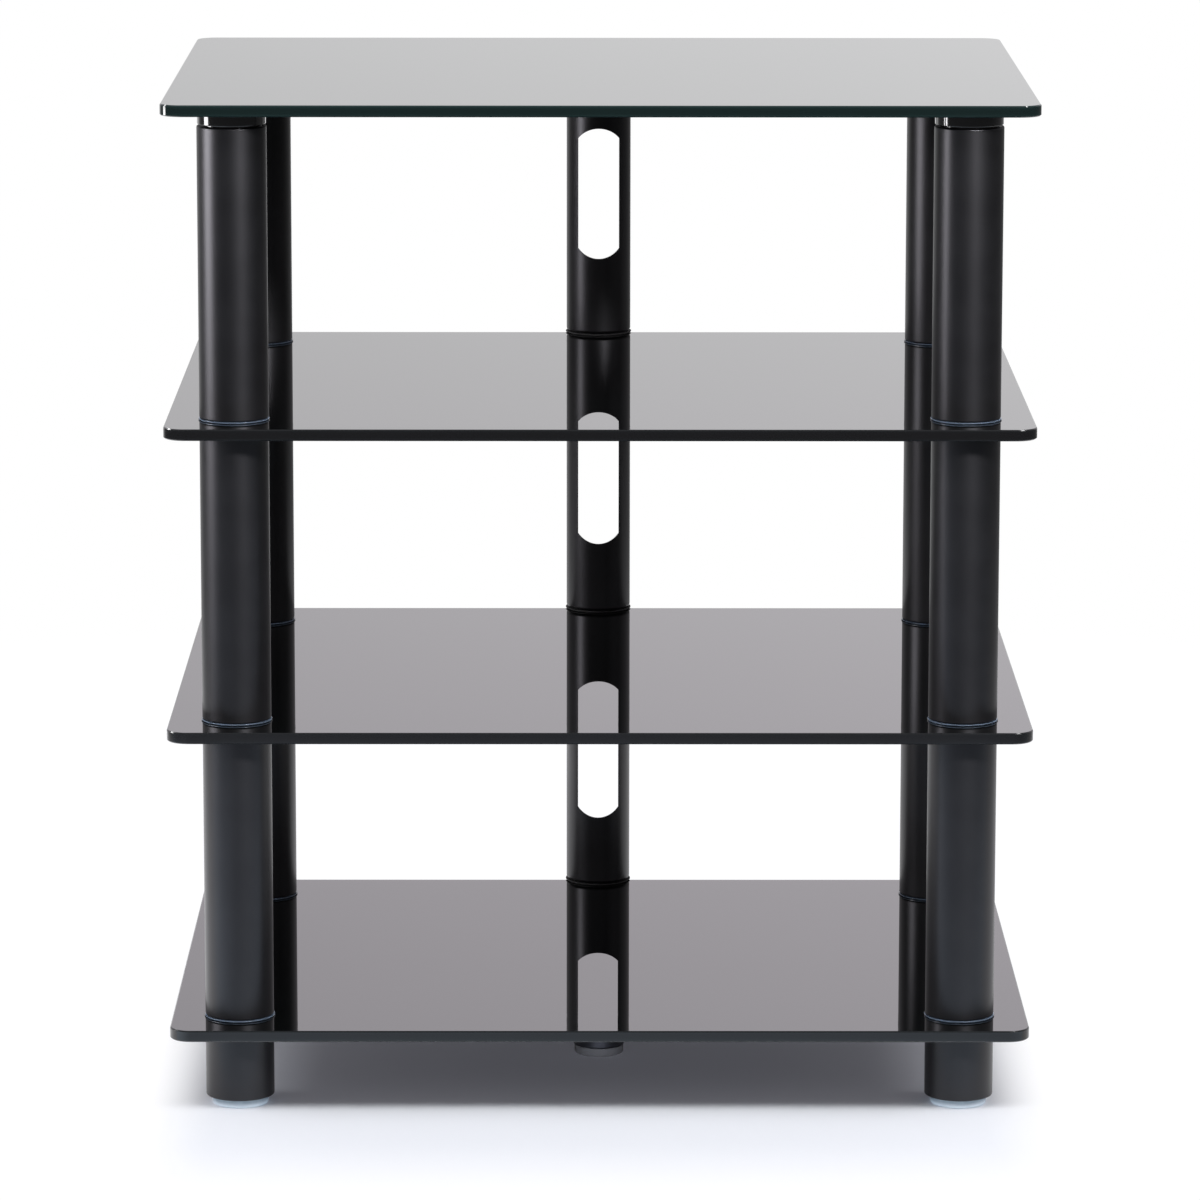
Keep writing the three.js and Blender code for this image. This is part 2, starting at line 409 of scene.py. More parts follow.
def makeZincPlate(values):
    finish, place, shader = newFinish("zincPlate", {"Metallic": 1.0})
    cloud = place.noise(values["cloudPerMetre"], values["cloudDetail"])
    colour = cloud.ramp(*values["cloudSpread"]).blend(rgb(*values["dull"]), rgb(*values["bright"]))
    rough = cloud.around(values["roughness"], values["cloudSwing"])
    return feed(finish, shader, {"Base Color": colour, "Roughness": rough})


topLow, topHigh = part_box("shelf_top")
glassThickness = topHigh.z - topLow.z
powderFinish = makePowderCoat(powderCoat)
middleFinish = makeBlackGlass(middleGlass, glassThickness)
glassFinishes = {
    "shelf_bottom": makeBlackGlass(lowestGlass, glassThickness),
    "shelf_lower_middle": middleFinish,
    "shelf_upper_middle": middleFinish,
    "shelf_top": makeBlackGlass(topGlass, glassThickness),
}
lacquerFinish = makeGlossLacquer(glossLacquer)
washerFinish = makeClearPlastic(washerPlastic)
footFinish = makeClearPlastic(footPlastic)
rubberFinish = makeSoftBlack(washerRubber)
padFinish = makeSoftBlack(padRubber)
plasticFinish = makeSoftBlack(capPlastic)
zincFinish = makeZincPlate(zincPlate)
print("finishes made")


# Mesh helpers

pointRadius = 0.0001 * mm  # a section that is closer than this to the axis has a point there


def roundedSection(corners, steps=6):
    # corners are (radius, height, fillet); an arc replaces each corner that has a fillet
    points = []
    count = len(corners)
    for index, (radius, height, fillet) in enumerate(corners):
        here = Vector((radius, height))
        if not fillet:
            points.append((radius, height))
            continue
        before = Vector(corners[index - 1][:2]) - here
        after = Vector(corners[(index + 1) % count][:2]) - here
        half = before.angle(after) / 2
        start = here + before.normalized() * fillet / math.tan(half)
        end = here + after.normalized() * fillet / math.tan(half)
        between = (before.normalized() + after.normalized()).normalized()
        centre = here + between * fillet / math.sin(half)
        first, last = start - centre, end - centre
        turn = first.angle_signed(last)
        for step in range(steps + 1):
            arm = first.copy()
            arm.rotate(Matrix.Rotation(-turn * step / steps, 2))
            points.append(tuple(centre + arm))
    return points


def turnSection(section, segments):
    # turns a section about Z; one that starts on the axis ends on it, and any other is closed
    mesh = bmesh.new()
    rings = []
    angles = [2 * math.pi * step / segments for step in range(segments)]
    for radius, height in section:
        spots = [(0, 0, height)]
        if radius > pointRadius:
            spots = [(radius * math.cos(angle), radius * math.sin(angle), height) for angle in angles]
        rings.append([mesh.verts.new(spot) for spot in spots])
    pairs = list(zip(rings, rings[1:]))
    if section[0][0] > pointRadius:
        pairs.append((rings[-1], rings[0]))
    for lower, upper in pairs:
        bridge(mesh, lower, upper)
    return mesh


def bridge(mesh, lower, upper):
    # faces between two closed rows of points, either of which may be a single point
    count = max(len(lower), len(upper))
    for step in range(count):
        after = (step + 1) % count
        corners = [lower[step % len(lower)], lower[after % len(lower)]]
        corners += [upper[after % len(upper)], upper[step % len(upper)]]
        corners = [corner for place, corner in enumerate(corners) if corner not in corners[:place]]
        if len(corners) > 2:
            mesh.faces.new(corners)


def addPiece(name, mesh, place, finish, nodes, sharpAngle=32):
    # turns a mesh into a piece of the rack that stands for its nodes
    bmesh.ops.recalc_face_normals(mesh, faces=mesh.faces)
    data = bpy.data.meshes.new(name)
    mesh.to_mesh(data)
    mesh.free()
    data.materials.append(finish)
    data.shade_smooth()
    data.set_sharp_from_angle(angle=math.radians(sharpAngle))
    piece = bpy.data.objects.new(name, data)
    scene.collection.objects.link(piece)
    piece.location = place
    flat = piece.modifiers.new("flatFaces", "WEIGHTED_NORMAL")
    flat.mode = "FACE_AREA"
    flat.weight = 100
    flat.keep_sharp = True
    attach(piece, "root")
    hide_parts(*nodes)
    return piece


def baseOf(node):
    # the middle of the underside of a node, and its radius and height
    low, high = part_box(node)
    return Vector(((low.x + high.x) / 2, (low.y + high.y) / 2, low.z)), (high.x - low.x) / 2, high.z - low.z


# Glass shelves

glassShelf = {
    "cornerRadius": 15 * mm,
    "cornerSteps": 20,
    "arris": 0.8 * mm,
    "arrisSoftening": 0.12 * mm,
    "softeningShare": 0.4,  # of it on the slope of the arris
    "tabStepIn": 3 * mm,
    "tabSteps": 40,
    "tabFillet": 3 * mm,
    "tabFilletSteps": 6,
    "rodHole": 5.5 * mm,
    "holeArris": 0.5 * mm,
    "holeSteps": 40,
    "sharpAngle": 18,
}
columnBase, columnRadius = baseOf("column_tube_bottom")[:2]


def arcPoints(centre, radius, start, end, steps):
    points = []
    for step in range(steps + 1):
        angle = math.radians(start + (end - start) * step / steps)
        points.append((centre[0] + radius * math.cos(angle), centre[1] + radius * math.sin(angle)))
    return points


def shelfOutline(values, drilled, inset):
    # anticlockwise from the front left corner, moved inwards by inset
    radius = values["cornerRadius"]
    steps = values["cornerSteps"]
    left, right = topLow.x + radius, topHigh.x - radius
    front, rear = topLow.y + radius, topHigh.y - radius
    turn = radius - inset
    outline = arcPoints((left, front), turn, 180, 270, steps)
    outline += arcPoints((right, front), turn, 270, 360, steps)
    outline += arcPoints((right, rear), turn, 0, 90, steps)
    if drilled:
        fillet, filletSteps = values["tabFillet"], values["tabFilletSteps"]
        tab = columnRadius - values["tabStepIn"]
        edge = topHigh.y + fillet
        outline += arcPoints((tab + fillet, edge), fillet + inset, 270, 180, filletSteps)
        outline += arcPoints((0, columnBase.y), tab - inset, 0, 180, values["tabSteps"])
        outline += arcPoints((-tab - fillet, edge), fillet + inset, 0, -90, filletSteps)
    outline += arcPoints((left, rear), turn, 90, 180, steps)
    return outline


def edgeRows(arris):
    # (inset, height) rows from the underside to the top of a plate with ground edges
    soft = glassShelf["arrisSoftening"]
    cut = soft * glassShelf["softeningShare"]
    lower = [(arris + soft, 0), (arris - cut, cut), (cut, arris - cut), (0, arris + soft)]
    return lower + [(inset, glassThickness - height) for inset, height in reversed(lower)]


def makeShelf(node, drilled):
    values = glassShelf
    mesh = bmesh.new()
    rows = [
        [mesh.verts.new((x, y, height)) for x, y in shelfOutline(values, drilled, inset)]
        for inset, height in edgeRows(values["arris"])
    ]
    for lower, upper in zip(rows, rows[1:]):
        bridge(mesh, lower, upper)
    loops = {0: [rows[0]], -1: [rows[-1]]}
    if drilled:
        spots = [baseOf("washer_" + post + "_bottom")[0] for post in postNames] + [columnBase]
        for spot in spots:
            holeRows = []
            for inset, height in edgeRows(values["holeArris"]):
                circle = arcPoints(spot, values["rodHole"] + inset, 0, 360, values["holeSteps"])[:-1]
                holeRows.append([mesh.verts.new((x, y, height)) for x, y in circle])
            for lower, upper in zip(holeRows, holeRows[1:]):
                bridge(mesh, upper, lower)
            for end, loop in loops.items():
                loop.append(holeRows[end])
    for loop in loops.values():
        flat = [corner for part in loop for corner in part]
        for corners in tessellate_polygon([[corner.co for corner in part] for part in loop]):
            mesh.faces.new([flat[index] for index in corners])
    place = (0, 0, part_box(node)[0].z)
    addPiece("glass_" + node, mesh, place, glassFinishes[node], [node], values["sharpAngle"])


for shelfName in drilledShelves:
    makeShelf(shelfName, True)
makeShelf("shelf_top", False)
print("glass shelves made")


# Tubes of the corner posts, and legs

platedTube = {
    "wall": 2 * mm,
    "endRounding": 1.2 * mm,
    "plate": 6 * mm,
    "bore": 4.3 * mm,
    "footBore": 3.8 * mm,
    "boreEdge": 0.4 * mm,
    "innerRounding": 0.3 * mm,
    "segments": 112,
    "middleLegSegments": 96,
}


def tubeSection(values, radius, length, lowerBore, upperBore):
    inner = radius - values["wall"]
    plate, rounding, soft = values["plate"], values["endRounding"], values["boreEdge"]
    return roundedSection([
        (inner, plate, values["innerRounding"]),
        (lowerBore, plate, soft),
        (lowerBore, 0, soft),
        (radius, 0, rounding),
        (radius, length, rounding),
        (upperBore, length, soft),
        (upperBore, length - plate, soft),
        (inner, length - plate, values["innerRounding"]),
    ])


def makeTube(node, lowerBore):
    values = platedTube
    place, radius, length = baseOf(node)
    section = tubeSection(values, radius, length, lowerBore, values["bore"])
    mesh = turnSection(section, values["segments"])
    addPiece("coated_" + node, mesh, place, powderFinish, [node])


for post in postNames:
    for bay in bayNames:
        makeTube("tube_" + post + "_" + bay, platedTube["bore"])
for post in postNames + ["column"]:
    makeTube("leg_" + post, platedTube["footBore"])


def makeMiddleLeg():
    # its upper end is whole and bonded to the glass
    values = platedTube
    place, radius, length = baseOf("leg_middle")
    inner, plate = radius - values["wall"], values["plate"]
    section = roundedSection([
        (0, length - plate, 0),
        (inner, length - plate, values["innerRounding"]),
        (inner, plate, values["innerRounding"]),
        (values["footBore"], plate, values["boreEdge"]),
        (values["footBore"], 0, values["boreEdge"]),
        (radius, 0, values["endRounding"]),
        (radius, length, values["endRounding"]),
        (0, length, 0),
    ])
    mesh = turnSection(section, values["middleLegSegments"])
    addPiece("coated_leg_middle", mesh, place, powderFinish, ["leg_middle"])


makeMiddleLeg()
print("tubes and legs made")


# Washers, bonded discs and the cap of the column

jointWasher = {
    "rounding": 0.15 * mm,
    "undercut": 0.4 * mm,
    "bore": 4.3 * mm,
    "steps": 4,
    "segments": 96,
}


def makeWasher(node, finish):
    values = jointWasher
    place, radius, height = baseOf(node)
    soft, cut, bore = values["rounding"], values["undercut"], values["bore"]
    section = roundedSection([
        (bore, 0, soft),
        (radius - cut, 0, soft),
        (radius, cut, soft),
        (radius, height, soft),
        (bore, height, soft),
    ], values["steps"])
    addPiece("ring_" + node, turnSection(section, values["segments"]), place, finish, [node])


bondedDisc = {
    "neckHeight": 1 * mm,
    "neckStepIn": 3 * mm,
    "neckRounding": 0.3 * mm,
    "rimRounding": 0.6 * mm,
    "topRounding": 0.25 * mm,
    "bore": 4.3 * mm,
    "boreDepth": 8 * mm,
    "boreEdge": 0.2 * mm,
    "segments": 112,
}


def makeDisc(node):
    values = bondedDisc
    place, radius, height = baseOf(node)
    neck, step = values["neckHeight"], radius - values["neckStepIn"]
    section = roundedSection([
        (0, values["boreDepth"], 0),
        (values["bore"], values["boreDepth"], 0),
        (values["bore"], 0, values["boreEdge"]),
        (step, 0, values["boreEdge"]),
        (step, neck, values["neckRounding"]),
        (radius, neck, values["rimRounding"]),
        (radius, height, values["topRounding"]),
        (0, height, 0),
    ])
    mesh = turnSection(section, values["segments"])
    addPiece("lacquered_" + node, mesh, place, lacquerFinish, [node])


columnCap = {
    "flange": 3 * mm,
    "topRounding": 1 * mm,
    "flangeEdge": 0.2 * mm,
    "plugRadius": 21.7 * mm,
    "plugWall": 2 * mm,
    "plugFillet": 0.5 * mm,
    "plugInnerEdge": 0.4 * mm,
    "plugOuterEdge": 0.6 * mm,
    "segments": 96,
}


def makeCap():
    values = columnCap
    place, radius, height = baseOf("column_cap")
    plug = values["plugRadius"]
    hollow = plug - values["plugWall"]
    rim = height - values["flange"]
    section = roundedSection([
        (0, rim, 0),
        (hollow, rim, values["plugFillet"]),
        (hollow, 0, values["plugInnerEdge"]),
        (plug, 0, values["plugOuterEdge"]),
        (plug, rim, values["flangeEdge"]),
        (radius, rim, values["flangeEdge"]),
        (radius, height, values["topRounding"]),
        (0, height, 0),
    ])
    mesh = turnSection(section, values["segments"])
    addPiece("moulded_cap", mesh, place, plasticFinish, ["column_cap"])


for bay in bayNames:
    for post in postNames:
        makeWasher("washer_" + post + "_" + bay, washerFinish)
    makeWasher("washer_column_" + bay, rubberFinish)
for post in postNames:
    makeDisc("disc_" + post)
makeCap()
print("washers, discs and cap made")


# Cable column

cableColumn = {
    "frontWidth": 30.5 * mm,
    "frontHeight": 98 * mm,
    "rearWidth": 34 * mm,
    "rearHeight": 126 * mm,
    "endRise": 7.5 * mm,
    "slotSteps": 26,
    "sideSteps": 30,
    "rimRounding": 0.45 * mm,
    "rimSteps": 2,
    "rimAngle": 50,  # degrees; sharper edges are rounded
    "endRounding": 2.5 * mm,
    "openEndSteps": 3,
}


def arcHeight(values, across, width, height):
    # height of the shallow arc that closes a slot, above the middle of the slot
    arc = (width ** 2 / 4 + values["endRise"] ** 2) / (values["endRise"] * 2)
    return height / 2 - arc + math.sqrt(arc ** 2 - across ** 2)


def wallLines(values, radius):
    # angles of the upright lines round a wall, with an exact line on each side of both slots
    frontHalf = math.asin(values["frontWidth"] / 2 / radius)
    rearHalf = math.asin(values["rearWidth"] / 2 / radius)
    count = values["slotSteps"]
    lines = []
    for step in range(count):
        across = values["frontWidth"] * (step / count - 0.5)
        lines.append(-math.pi / 2 + math.asin(across / radius))
    rightStart, rightEnd = -math.pi / 2 + frontHalf, math.pi / 2 - rearHalf
    for step in range(values["sideSteps"]):
        lines.append(rightStart + (rightEnd - rightStart) * step / values["sideSteps"])
    for step in range(count):
        across = values["rearWidth"] * (0.5 - step / count)
        lines.append(math.pi / 2 - math.asin(across / radius))
    for step in range(values["sideSteps"]):
        lines.append(math.pi - rightEnd + (rightEnd - rightStart) * step / values["sideSteps"])
    return lines


def makeColumnTube(node, bayMiddle, openTop):
    # the slots are cut by leaving out faces of both walls; the top tube is open at its upper end
    values, plated = cableColumn, platedTube
    place, radius, length = baseOf(node)
    inner = radius - plated["wall"]
    middle = bayMiddle - place.z
    frontHalf, rearHalf = values["frontHeight"] / 2, values["rearHeight"] / 2
    rise = values["endRise"]
    steps, sides = values["slotSteps"], values["sideSteps"]
    total = (steps + sides) * 2
    frontLines = range(0, steps + 1)
    rearLines = range(steps + sides, steps * 2 + sides + 1)
    mesh = bmesh.new()

    def ring(ringRadius, height, lines):
        spots = [(ringRadius * math.cos(angle), ringRadius * math.sin(angle), height) for angle in lines]
        return [mesh.verts.new(spot) for spot in spots]

    def wall(wallRadius, low, high, lines):
        # rows of points up a wall; the rows at the ends of a slot follow its arcs
        rows = []
        levels = [low, -rearHalf + rise, -frontHalf + rise, frontHalf - rise, rearHalf - rise, high]
        for index, level in enumerate(levels):
            row = []
            for line, angle in enumerate(lines):
                across = wallRadius * math.cos(angle)
                height = level if index in (0, 5) else middle + level
                if index in (2, 3) and line in frontLines:
                    arc = arcHeight(values, across, values["frontWidth"], values["frontHeight"])
                    height = middle + math.copysign(arc, level)
                if index in (1, 4) and line in rearLines:
                    arc = arcHeight(values, across, values["rearWidth"], values["rearHeight"])
                    height = middle + math.copysign(arc, level)
                inSlot = index in (2, 3) and rearLines[0] < line < rearLines[-1]
                spot = (across, wallRadius * math.sin(angle), height)
                row.append(None if inSlot else mesh.verts.new(spot))
            rows.append(row)
        return rows

    def isOpen(row, line):
        inFront = row == 2 and line in frontLines[:-1]
        return inFront or (row in (1, 2, 3) and line in rearLines[:-1])

    plate, rounding, soft = plated["plate"], values["endRounding"], plated["boreEdge"]
    bore, fillet = plated["bore"], plated["innerRounding"]
    outerLines, innerLines = wallLines(values, radius), wallLines(values, inner)
    topRounding = soft if openTop else rounding
    outerRows = wall(radius, rounding, length - topRounding, outerLines)
    innerTop = length - soft if openTop else length - plate - fillet
    innerRows = wall(inner, plate + fillet, innerTop, innerLines)
    for rows in (outerRows, innerRows):
        for row, (below, above) in enumerate(zip(rows, rows[1:])):
            for line in range(total):
                after = (line + 1) % total
                if not isOpen(row, line):
                    mesh.faces.new([below[line], below[after], above[after], above[line]])

    # the first and last points of these sections only set the direction of their arcs, and the
    # next ones to them are on the walls already
    lowerEnd = [
        (radius, rounding * 2, 0),
        (radius, 0, rounding),
        (bore, 0, soft),
        (bore, plate, soft),
        (inner, plate, fillet),
        (inner, plate * 2, 0),
    ]
    plainEnd = [(radius, 0, 0), (radius, length, soft), (inner, length, soft), (inner, 0, 0)]
    platedEnd = [
        (radius, 0, 0),
        (radius, length, rounding),
        (bore, length, soft),
        (bore, length - plate, soft),
        (inner, length - plate, fillet),
        (inner, 0, 0),
    ]
    lowerPoints = roundedSection(lowerEnd)[2:-2]
    upperPoints = roundedSection(plainEnd, values["openEndSteps"]) if openTop else roundedSection(platedEnd)
    upperPoints = upperPoints[2:-2]
    for row, points in ((0, lowerPoints), (-1, upperPoints)):
        chain = [ring(reach, height, outerLines) for reach, height in points]
        chain = [outerRows[row]] + chain + [innerRows[row]]
        for lower, upper in zip(chain, chain[1:]):
            bridge(mesh, lower, upper)

    # the rims of the slots join the outer wall to the inner one
    for lines, lowRow, highRow in ((frontLines, 2, 3), (rearLines, 1, 4)):
        for line in lines[:-1]:
            for row in (lowRow, highRow):
                outerEdge, innerEdge = outerRows[row], innerRows[row]
                corners = [outerEdge[line], outerEdge[line + 1], innerEdge[line + 1], innerEdge[line]]
                mesh.faces.new(corners)
        for line in (lines[0], lines[-1]):
            for row in range(lowRow, highRow):
                corners = [outerRows[row][line], outerRows[row + 1][line]]
                corners += [innerRows[row + 1][line], innerRows[row][line]]
                mesh.faces.new(corners)

    piece = addPiece("slotted_" + node, mesh, place, powderFinish, [node])
    rim = piece.modifiers.new("rimRounding", "BEVEL")
    rim.width = values["rimRounding"]
    rim.segments = values["rimSteps"]
    rim.limit_method = "ANGLE"
    rim.angle_limit = math.radians(values["rimAngle"])
    rim.use_clamp_overlap = True
    piece.modifiers.move(1, 0)


for bay, below, above in zip(bayNames, drilledShelves, drilledShelves[1:] + ["shelf_top"]):
    bayMiddle = (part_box(below)[1].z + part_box(above)[0].z) / 2
    makeColumnTube("column_tube_" + bay, bayMiddle, bay == "top")
print("cable column made")


# Rods, studs and feet

threads = {
    "pitch": 1.25 * mm,
    "depth": 0.55 * mm,
    "length": 30 * mm,  # at each end of a rod
    "endChamfer": 0.7 * mm,
    "stepsPerPitch": 4,
    "segments": 24,
    "sharpAngle": 60,
}


def threadedRod(values, radius, length, threadLength):
    # a rod whose two ends carry a screw thread
    pitch, depth, segments = values["pitch"], values["depth"], values["segments"]
    rise = pitch / values["stepsPerPitch"]
    heights = [0.0]
    while heights[-1] + rise < length:
        following = heights[-1] + rise
        if threadLength < following < length - threadLength:
            following = length - threadLength
        heights.append(following)
    heights.append(length)
    mesh = bmesh.new()
    rows = []
    for height in heights:
        row = []
        toEnd = min(height, length - height)
        for step in range(segments):
            angle = 2 * math.pi * step / segments
            phase = (height / pitch - step / segments) % 1.0
            groove = depth * (1 - abs(phase * 2 - 1)) if toEnd < threadLength - rise / 2 else 0
            chamfer = max(0, values["endChamfer"] - toEnd)
            here = radius - max(groove, chamfer)
            row.append(mesh.verts.new((here * math.cos(angle), here * math.sin(angle), height)))
        rows.append(row)
    for lower, upper in zip(rows, rows[1:]):
        bridge(mesh, lower, upper)
    mesh.faces.new(rows[0])
    mesh.faces.new(rows[-1])
    return mesh


for node in ["rod_" + post for post in postNames] + ["stud_column_" + bay for bay in bayNames]:
    place, radius, length = baseOf(node)
    mesh = threadedRod(threads, radius, length, min(threads["length"], length / 2))
    addPiece("plated_" + node, mesh, place, zincFinish, [node], threads["sharpAngle"])


clearFoot = {
    "height": 6 * mm,
    "edgeRounding": 1.2 * mm,
    "topRounding": 0.5 * mm,
    "stemRadius": 3.5 * mm,
    "stemGap": 0.02 * mm,
    "stemFrom": 2.4 * mm,  # above the underside of the foot
    "segments": 96,
}


def makeFoot(node, finish):
    # a moulded disc, and a screw in it that goes up into the plate of the leg
    values = clearFoot
    place, radius, length = baseOf(node)
    height, stem, seat = values["height"], values["stemRadius"], values["stemFrom"]
    hole = stem + values["stemGap"]
    section = roundedSection([
        (0, 0, 0),
        (radius, 0, values["edgeRounding"]),
        (radius, height, values["topRounding"]),
        (hole, height, 0),
        (hole, seat, 0),
        (0, seat, 0),
    ])
    addPiece("moulded_" + node, turnSection(section, values["segments"]), place, finish, [node])
    start = seat + values["stemGap"]
    mesh = threadedRod(threads, stem, length - start, length)
    place = place + Vector((0, 0, start))
    addPiece("stem_" + node, mesh, place, zincFinish, [node], threads["sharpAngle"])


for post in postNames + ["column"]:
    makeFoot("foot_" + post, footFinish)
makeFoot("pad_middle", padFinish)
print("rods, studs and feet made")


# Floor

paleFloor = {
    "radius": 1.7,
    "sides": 96,
    "sink": 0.2 * mm,
    "colour": (0.785, 0.814, 0.845),
    # a faint glow evens the shadow under the lowest shelf, from its front to its rear
    "glow": [(0.040, 0.040, 0.048), (0.066, 0.066, 0.077)],
    "glowFrom": (-0.24, 0.10),
    "sideFade": (0.262, 0.325),  # from the middle to either side, where the floor turns white
    "frontFade": (0.30, 0.48),
    "backFade": (0.22, 0.42),
    "rimFade": (1.2, 1.65),
    "white": (1.03, 1.03, 1.05),
    "leftGain": 0.70,  # beyond the left of the picture, where the left light falls
    "leftFrom": (0.30, 0.55),
    # what the tubes and edges mirror: the lit floor just in front, and the floor beyond the picture
    "mirrorFade": (0.235, 0.30),
    "near": (0.94, 1.07, 1.23),
    "front": (0.66, 0.72, 0.84),
    "frontFrom": (0.45, 0.56),
}


def makeFloor(values):
    bpy.ops.mesh.primitive_circle_add(vertices=values["sides"], radius=values["radius"], fill_type="NGON")
    floor = bpy.context.object
    floor.location.z = -values["sink"]
    floor.name = "floor"
    material = bpy.data.materials.new("paleFloor")
    material.use_nodes = True
    tree = material.node_tree
    tree.nodes.clear()
    wire = Wire(tree)
    place = wire.node("TexCoord", output="Object")
    across, depth = place.part(0), place.part(1)
    isCamera = wire.node("LightPath", output="Is Camera Ray")
    ahead = 0 - depth
    mirrored = ahead.ramp(*values["mirrorFade"])
    frontFade = mirrored + isCamera * (ahead.ramp(*values["frontFade"]) - mirrored)
    sideFade, backFade = abs(across).ramp(*values["sideFade"]), depth.ramp(*values["backFade"])
    kept = (1 - sideFade) * (1 - frontFade) * (1 - backFade)
    away = place.node("VectorMath", {"operation": "LENGTH"}, {0: place}, "Value")
    diffuse = wire.node("BsdfDiffuse", None, {"Color": rgb(*values["colour"])})
    glowFront, glowRear = (rgb(*colour) for colour in values["glow"])
    glow = wire.node("Emission", None, {"Color": depth.ramp(*values["glowFrom"]).blend(glowFront, glowRear)})
    whiteLevel, nearLevel, frontLevel = (rgb(*values[name]) for name in ("white", "near", "front"))
    level = ahead.ramp(*values["frontFrom"]).blend(nearLevel, frontLevel)
    level = mirrored.blend(whiteLevel, level)
    gain = 1 + (0 - across).ramp(*values["leftFrom"]) * values["leftGain"]
    level = level.node("VectorMath", {"operation": "SCALE"}, {0: level, "Scale": gain})
    white = wire.node("Emission", None, {"Color": level})
    clear = wire.node("BsdfTransparent")
    lit = wire.node("AddShader", None, {0: diffuse, 1: glow})
    seen = wire.node("Emission", None, {"Color": rgb(*values["white"])})
    far = wire.node("MixShader", None, {0: isCamera, 1: white, 2: seen})
    near = wire.node("MixShader", None, {0: kept, 1: far, 2: lit})
    surface = wire.node("MixShader", None, {0: away.ramp(*values["rimFade"]), 1: near, 2: clear})
    wire.node("OutputMaterial", None, {"Surface": surface})
    floor.data.materials.append(material)


makeFloor(paleFloor)


# Light

studio = {
    # brightness of the surroundings by degrees to the right of straight behind. The tubes mirror the
    # low part, and the shelves the high one.
    "low": [
        (-180, 0.08), (-100, 0.10), (-62, 0.13), (-52, 0.20), (-38, 0.74), (-12, 0.80), (0, 1.0),
        (10, 1.16), (15, 0.75), (23, 0.28), (57, 0.11), (100, 0.07), (180, 0.08),
    ],
    "high": [
        (-180, 0.42), (-150, 0.46), (-100, 0.50), (-60, 0.62), (-30, 0.78), (-12, 0.80), (0, 1.0),
        (10, 1.16), (30, 0.85), (60, 0.62), (100, 0.50), (150, 0.46), (180, 0.42),
    ],
    "highest": 2,  # a colour ramp holds levels up to 1, so they are divided by this in it
    "highFrom": (0.10, 0.26),
    "lift": 0.105,  # how much brighter the wall is a little higher up
    "liftFrom": (0.085, 0.205),
    "lowTint": (1.0, 1.0, 1.01),
    "tint": (1.0, 0.952, 1.012),
    "tintFrom": (0.12, 0.235),
    "above": 0.25,
    "aboveFrom": (0.35, 0.8),
}

softLights = {
    "frontBank": {
        "place": (0.2, -1.45, 2.10), "aim": (0, -0.1, 0), "size": (3.4, 0.75), "power": 97.0,
        "colour": (0.99, 0.985, 1.0), "hiddenFrom": ["glossy"],
    },
    "leftFill": {
        "place": (-1.6, -0.35, 0.95), "aim": (-0.2, -0.15, 0), "size": (0.55, 0.45), "power": 8.5,
        "colour": (0.98, 0.985, 1.03), "hiddenFrom": ["glossy"],
    },
    "leftBox": {
        "place": (-1.85, -0.42, 0.66), "aim": (0, -0.42, 0.66), "size": (1.02, 0.80), "power": 37.5,
        "colour": (1.0, 0.975, 1.03), "hiddenFrom": ["diffuse"],
        "linked": ("EXCLUDE", ("glass_", "lacquered_")),
    },
    "rightHigh": {
        "place": (1.07, -2.21, 1.66), "aim": (0, -0.2, 0.35), "size": (0.62, 0.38), "power": 240.0,
        "colour": (1.0, 0.99, 1.03), "hiddenFrom": ["diffuse"], "linked": ("EXCLUDE", ("glass_",)),
    },
    "rightFill": {
        "place": (1.6, -0.35, 0.95), "aim": (0.2, -0.15, 0), "size": (0.55, 0.45), "power": 7.5,
        "colour": (1.0, 0.99, 1.03), "hiddenFrom": ["glossy"],
    },
    # its image stands upright in the front left corner of the top shelf
    "cornerGlint": {
        "place": (-1.85, 0.03, 0.42), "aim": (-0.3, -0.24, 0.70), "size": (0.62, 0.36), "power": 13.0,
        "colour": (1.0, 1.0, 1.0), "hiddenFrom": ["diffuse"], "linked": ("INCLUDE", ("glass_shelf_top",)),
    },
    "discGlint": {
        "place": (-1.85, -0.19, 0.42), "aim": (-0.25, -0.19, 0.70), "size": (0.62, 0.36), "power": 10.0,
        "colour": (1.0, 0.985, 1.01), "hiddenFrom": ["diffuse"], "linked": ("INCLUDE", ("lacquered_",)),
    },
    # the bright floor in front shows a little on the leg under the middle of the lowest shelf
    "underFill": {
        "place": (0, -1.2, 0.10), "aim": (0, -0.06, 0.03), "size": (1.6, 0.07), "power": 20.0,
        "colour": (0.84, 0.92, 1.14), "hiddenFrom": [],
        "linked": ("INCLUDE", ("coated_leg_middle", "moulded_pad")),
    },
    # two small lights for the glints on the ground corners of the glass
    "highLeft": {
        "place": (-1.85, 0.80, 1.95), "aim": (-0.3, -0.2, 0.4), "size": (0.45, 0.75), "power": 30.0,
        "colour": (1.0, 1.0, 1.0), "hiddenFrom": ["diffuse"],
    },
    "highRight": {
        "place": (1.05, -0.37, 2.30), "aim": (0.3, -0.2, 0.4), "size": (0.28, 0.55), "power": 13.0,
        "colour": (1.0, 1.0, 1.0), "hiddenFrom": ["diffuse"],
    },
}


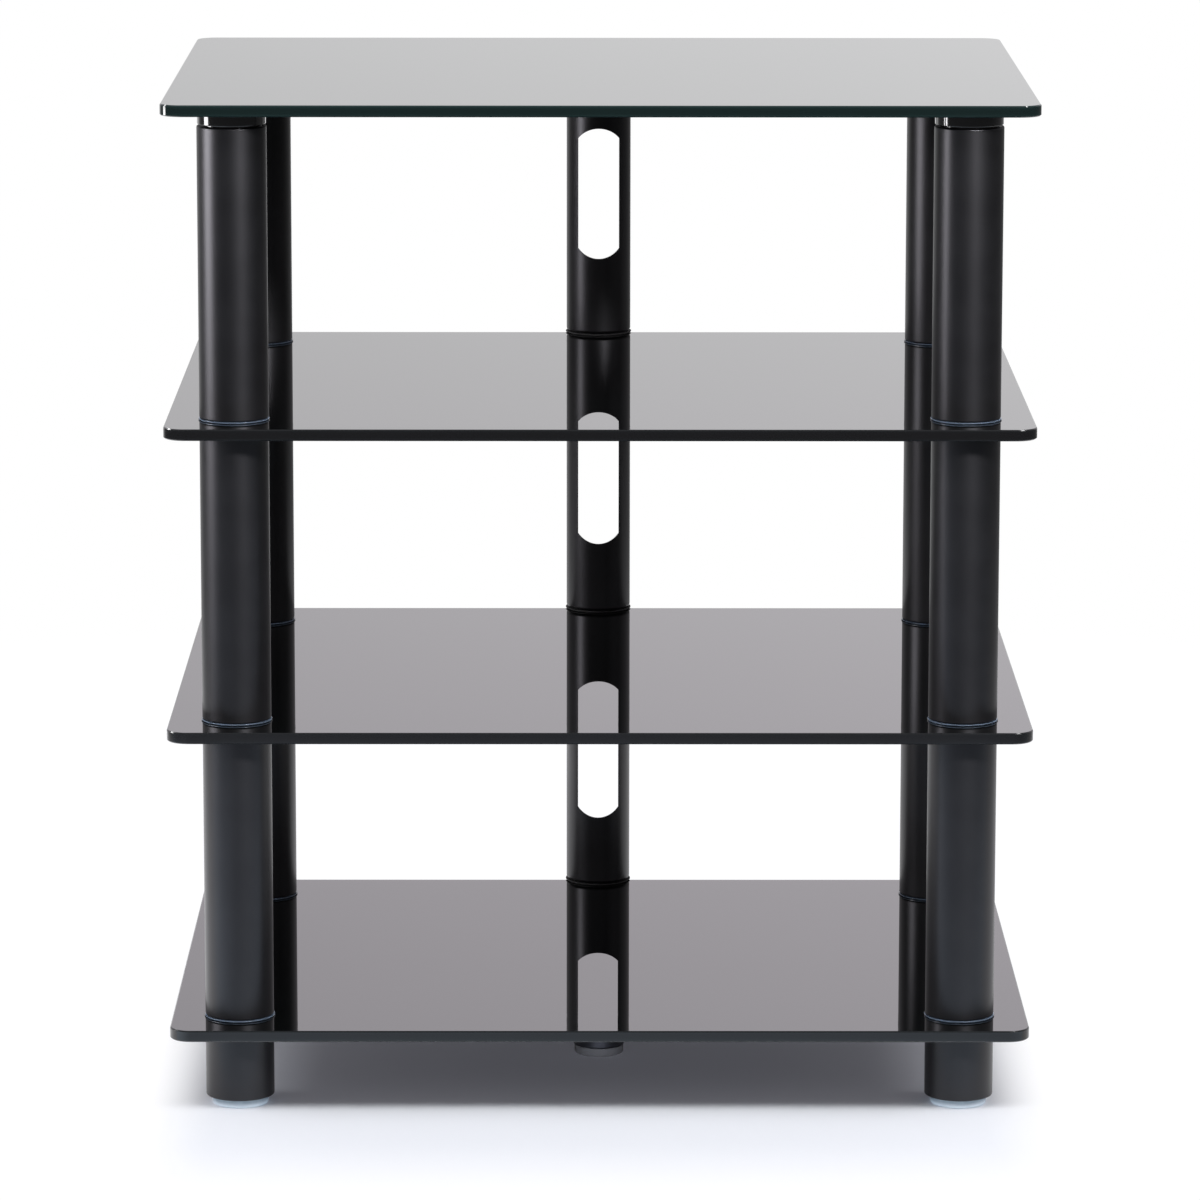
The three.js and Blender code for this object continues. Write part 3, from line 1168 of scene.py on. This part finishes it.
def makeStudio(values):
    world = bpy.data.worlds.new("studio")
    scene.world = world
    world.use_nodes = True
    tree = world.node_tree
    tree.nodes.clear()
    wire = Wire(tree)
    direction = wire.node("TexCoord", output="Generated")
    across, depth, height = (direction.part(axis) for axis in range(3))
    bearing = across.sum("ARCTAN2", across, depth) / (2 * math.pi) + 0.5
    highest = values["highest"]
    walls = []
    for part in ("low", "high"):
        stops = [(degrees / 360 + 0.5, rgb(*[level / highest] * 3)) for degrees, level in values[part]]
        walls.append(wire.node("ValToRGB", {"stops": stops}, {"Fac": bearing}) * highest)
    highness = height.ramp(*values["highFrom"])
    wall = walls[0] * (1 - highness) + walls[1] * highness
    wall = wall * (1 + height.ramp(*values["liftFrom"]) * values["lift"])
    upness = height.ramp(*values["aboveFrom"])
    level = wall * (1 - upness) + upness * values["above"]
    colour = height.ramp(*values["tintFrom"]).blend(rgb(*values["lowTint"]), rgb(*values["tint"]))
    lit = wire.node("Background", None, {"Color": colour, "Strength": level})
    seen = wire.node("Background", None, {"Color": rgb(1, 1, 1), "Strength": 1.0})
    isCamera = wire.node("LightPath", output="Is Camera Ray")
    surface = wire.node("MixShader", None, {0: isCamera, 1: lit, 2: seen})
    wire.node("OutputWorld", None, {"Surface": surface})


lightFade = 0.25  # share of a light's width


def makeLight(name, values):
    data = bpy.data.lights.new(name, "AREA")
    data.shape = "RECTANGLE"
    data.size, data.size_y = values["size"]
    data.energy = values["power"]
    data.color = values["colour"]
    light = bpy.data.objects.new(name, data)
    scene.collection.objects.link(light)
    light.location = values["place"]
    aim = Vector(values["aim"]) - Vector(values["place"])
    light.rotation_euler = aim.to_track_quat("-Z", "Y").to_euler()
    for rays in ["camera"] + values["hiddenFrom"]:
        setattr(light, "visible_" + rays, False)
    if "linked" in values:
        # the pieces that this light misses or alone reaches, by the start of their names
        state, start = values["linked"]
        group = bpy.data.collections.new(name + "Pieces")
        for piece in scene.objects:
            if piece.name.startswith(start):
                group.objects.link(piece)
        light.light_linking.receiver_collection = group
        for member in group.collection_objects:
            member.light_linking.link_state = state
    # the light fades out towards its edges
    data.use_nodes = True
    tree = data.node_tree
    spot = Wire(tree).node("NewGeometry", output="Parametric")
    across, upwards = ((0.5 - abs(spot.part(axis) - 0.5)).ramp(0, lightFade) for axis in range(2))
    tree.links.new((across * upwards).socket, tree.nodes["Emission"].inputs["Color"])


makeStudio(studio)
for name, values in softLights.items():
    makeLight(name, values)
scene.view_settings.view_transform = "Standard"
scene.view_settings.look = "None"
scene.cycles.use_denoising = True
print("floor and light made")
